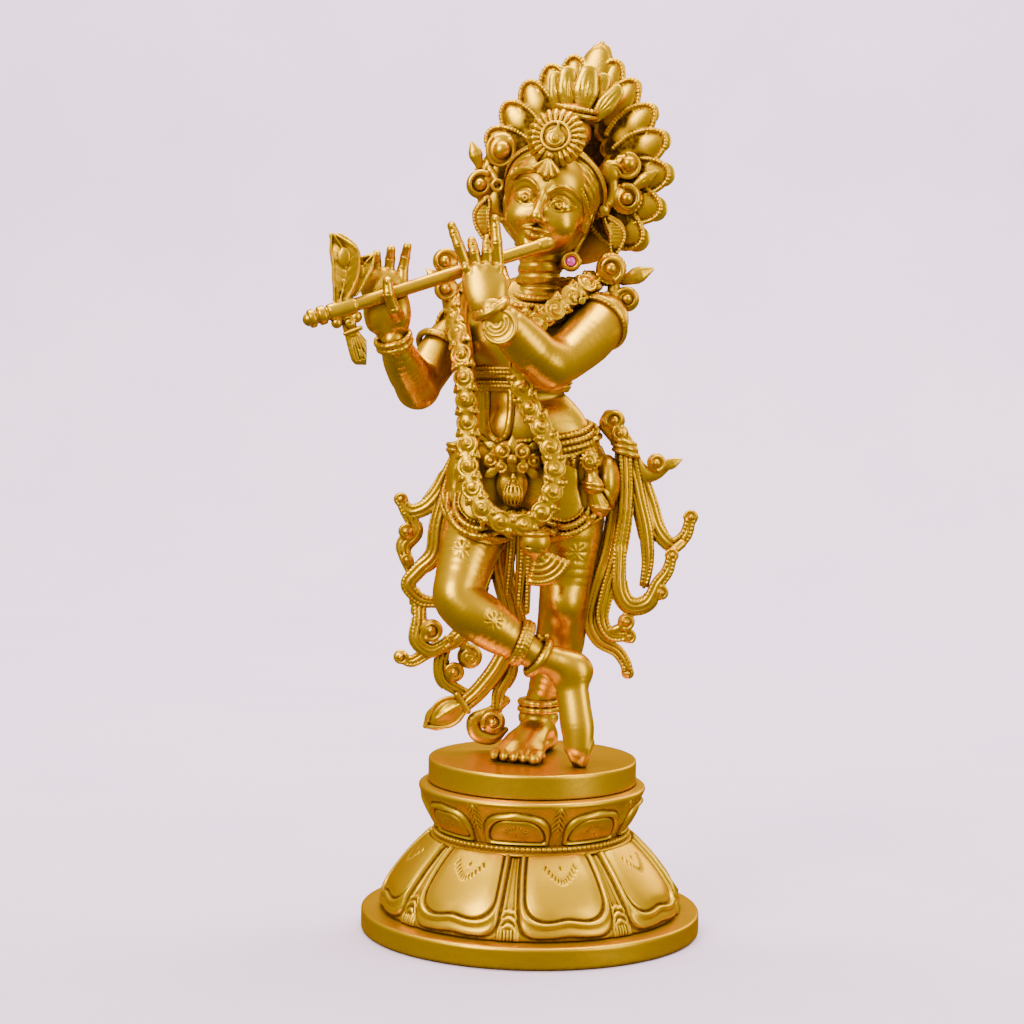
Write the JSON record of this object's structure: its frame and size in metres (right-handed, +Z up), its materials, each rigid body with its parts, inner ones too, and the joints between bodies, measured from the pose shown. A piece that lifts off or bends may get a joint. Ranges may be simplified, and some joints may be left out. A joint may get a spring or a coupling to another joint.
{
  "type": "flute player figurine",
  "caption": "Standing cross-legged flute player in satin brass on a round double-lotus base, with a feather fan head dress, garland, scarves and a loose flute.",
  "frame": {"origin": "centre of the base on the floor", "axes": "+Z up along the base axis, -Y the side the figure faces, +X the figure's left"},
  "size_m": [0.1337, 0.116, 0.3015],
  "materials": {
    "brass": "satin cast brass with dark patina in the recesses",
    "felt": "short felt",
    "steel": "zinc plated",
    "stone": "polished pink cabochon"
  },
  "bodies": {
    "statue": {"foot_plate": "brass", "closing_plate": "brass", "felt_pad": "felt", "plate_screws": "steel", "lower_lotus": "brass", "bead_collar": "brass", "upper_lotus": "brass", "stage_drum": "brass", "foot_stud": "steel", "stud_washer": "steel", "stud_nut": "steel", "toe_pin": "steel", "torso": "brass", "neck": "brass", "head": "brass", "right_upper_arm": "brass", "right_forearm": "brass", "right_hand": "brass", "left_upper_arm": "brass", "left_forearm": "brass", "left_hand": "brass", "standing_leg": "brass", "standing_foot": "brass", "crossed_leg": "brass", "crossed_foot": "brass", "hair_locks": "brass", "crown_band": "brass", "crest_medallion": "brass", "top_knot": "brass", "crest_feathers": "brass", "halo_plate": "brass", "halo_feathers": "brass", "halo_stem": "brass", "right_ear_scrolls": "brass", "left_ear_scrolls": "brass", "right_earring": "brass", "left_earring": "brass", "gem_collar": "brass", "gem_stone": "stone", "necklaces": "brass", "right_armlet": "brass", "left_armlet": "brass", "right_bangle": "brass", "left_bangle": "brass", "wrist_cuff": "brass", "chest_bands": "brass", "garland": "brass", "garland_tassel": "brass", "waist_belt": "brass", "belt_buckle": "brass", "hip_clasp": "brass", "thigh_swags": "brass", "front_strands": "brass", "hip_sash": "brass", "scarf_ends": "brass", "rear_sash": "brass", "anklets": "brass"},
    "flute": {"flute": "brass", "flute_feathers": "brass", "flute_tassel": "brass"}
  },
  "joints": [
    {"name": "flute_slide", "type": "slide", "parent": "statue", "child": "flute", "axis": [-0.9133, -0.2596, -0.3139], "range_m": [0, 0.08]}
  ]
}
